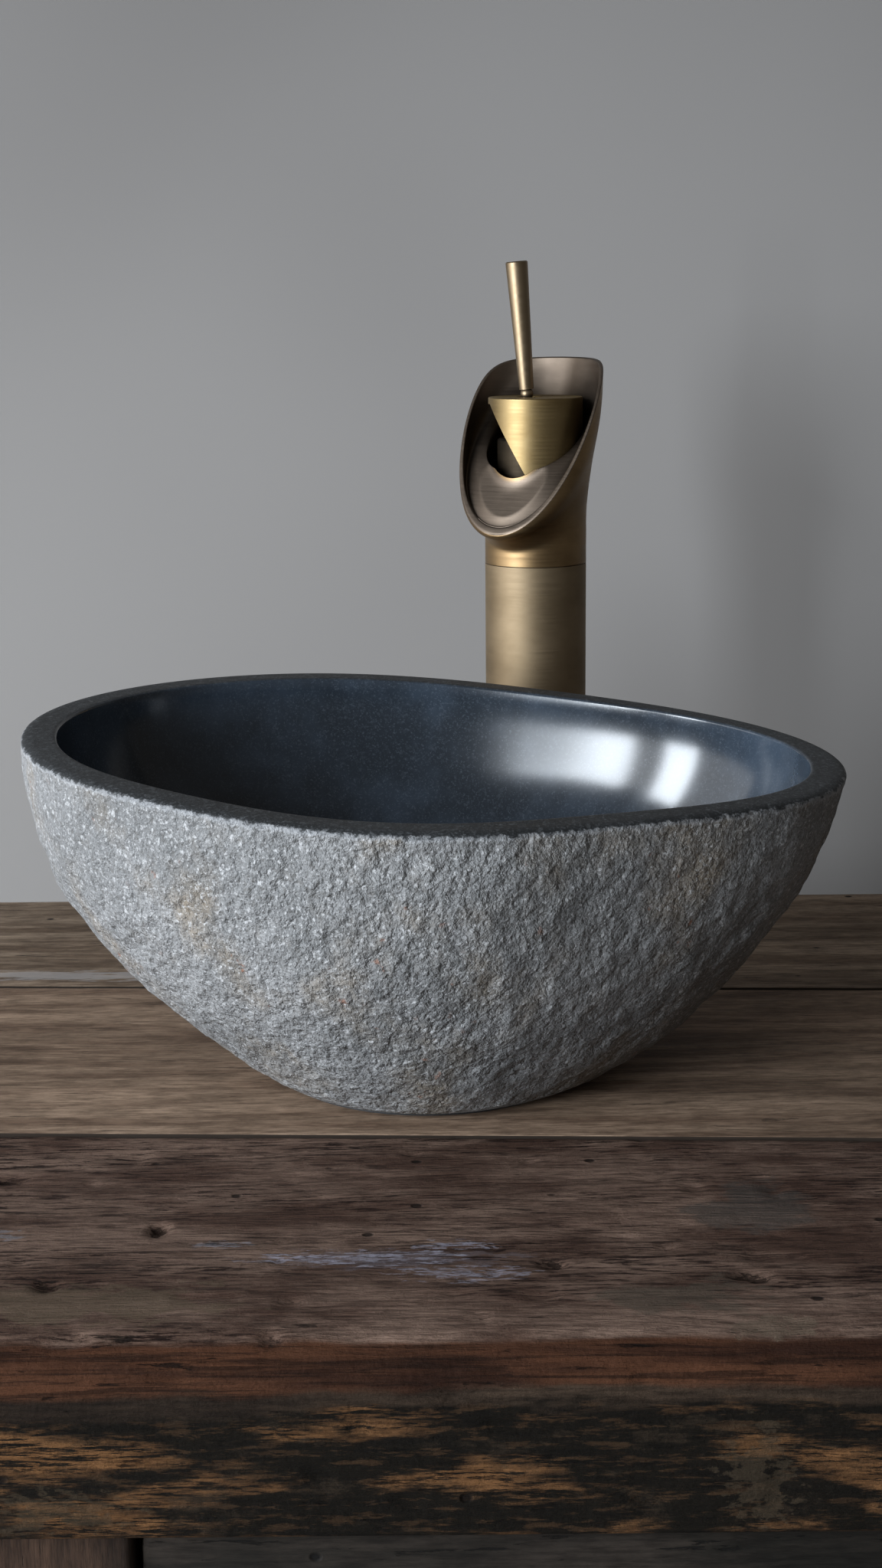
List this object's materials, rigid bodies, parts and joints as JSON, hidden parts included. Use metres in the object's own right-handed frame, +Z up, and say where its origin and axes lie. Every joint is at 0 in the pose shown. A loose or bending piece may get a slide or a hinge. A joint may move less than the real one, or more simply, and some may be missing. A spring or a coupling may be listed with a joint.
{
  "type": "vessel sink on vanity",
  "caption": "Natural stone vessel basin and tall waterfall mixer on a free-standing plank-topped wooden vanity with a drawer and a slatted shelf.",
  "frame": {"origin": "on the floor, under the middle of the whole footprint", "axes": "+Z up, the front with the drawer faces -Y, +X to the right of someone who stands in front"},
  "size_m": [0.71, 0.568, 1.0814],
  "materials": {
    "plank_wood": "weathered reclaimed plank, worn smooth",
    "beam_wood": "weathered reclaimed beam with dark streaks",
    "frame_wood": "weathered reclaimed timber",
    "shelf_wood": "weathered reclaimed board",
    "drawer_front_wood": "weathered reclaimed board",
    "carcass_wood": "planed, unfinished",
    "antique_brass": "brushed and aged",
    "polished_brass": "fine brushed",
    "plain_brass": "satin",
    "steel": "plain",
    "black_rubber": "matte",
    "grey_plastic": "matte",
    "basin_stone": "rough natural outside, honed rim and polished bowl"
  },
  "bodies": {
    "root": {"back_rail": "frame_wood", "base_gasket": "black_rubber", "basin_seal": "black_rubber", "cartridge_hub": "polished_brass", "cartridge_nut": "plain_brass", "clamp_plate": "steel", "drawer_kickers": "carcass_wood", "drawer_rail": "frame_wood", "flange_seal": "black_rubber", "floor_glides": "grey_plastic", "front_beam": "beam_wood", "front_left_post": "frame_wood", "front_right_post": "frame_wood", "inlet_tails": "plain_brass", "left_runner": "carcass_wood", "left_side_rail": "frame_wood", "left_stretcher": "frame_wood", "middle_plank": "plank_wood", "mixing_cartridge": "grey_plastic", "mounting_stud": "steel", "outlet_pipe": "plain_brass", "rear_left_post": "frame_wood", "rear_plank": "plank_wood", "rear_right_post": "frame_wood", "right_runner": "carcass_wood", "right_side_rail": "frame_wood", "right_stretcher": "frame_wood", "runner_rail": "carcass_wood", "shelf_boards": "shelf_wood", "shelf_screws": "steel", "spout_head": "antique_brass", "stone_basin": "basin_stone", "stud_nut": "steel", "supply_tubes": "steel", "tap_base_ring": "antique_brass", "tap_foot": "plain_brass", "tap_tube": "antique_brass", "trap_cup": "plain_brass", "trap_gland_nuts": "plain_brass", "trap_head": "plain_brass", "trap_inlet_nut": "plain_brass", "trap_inlet_pipe": "plain_brass", "wall_rosette": "plain_brass", "waste_backnut": "plain_brass", "waste_body": "plain_brass", "waste_washer": "black_rubber"},
    "drawer": {"drawer_front": "drawer_front_wood", "drawer_left_side": "carcass_wood", "drawer_right_side": "carcass_wood", "drawer_back": "carcass_wood", "drawer_bottom": "carcass_wood", "drawer_knob": "polished_brass", "knob_screw": "steel"},
    "plug": {"waste_plug": "plain_brass", "plug_stem": "plain_brass"},
    "spindle": {"cartridge_spindle": "plain_brass", "pivot_pin": "steel"},
    "lever": {"lever_stem": "polished_brass", "lever_rod": "polished_brass", "lever_boot": "black_rubber"}
  },
  "joints": [
    {"name": "drawer_slide", "type": "slide", "parent": "root", "child": "drawer", "axis": [0, -1, 0], "range_m": [0, 0.15]},
    {"name": "plug_lift", "type": "slide", "parent": "root", "child": "plug", "axis": [0, 0, 1], "range_m": [0, 0.007]},
    {"name": "lever_turn", "type": "hinge", "parent": "root", "child": "spindle", "pos_m": [-0.061, 0.206, 1], "axis": [0, 0, 1], "range_deg": [-45, 45]},
    {"name": "lever_tilt", "type": "hinge", "parent": "spindle", "child": "lever", "pos_m": [-0.061, 0.206, 1], "axis": [0, 1, 0], "range_deg": [0, 15]}
  ]
}
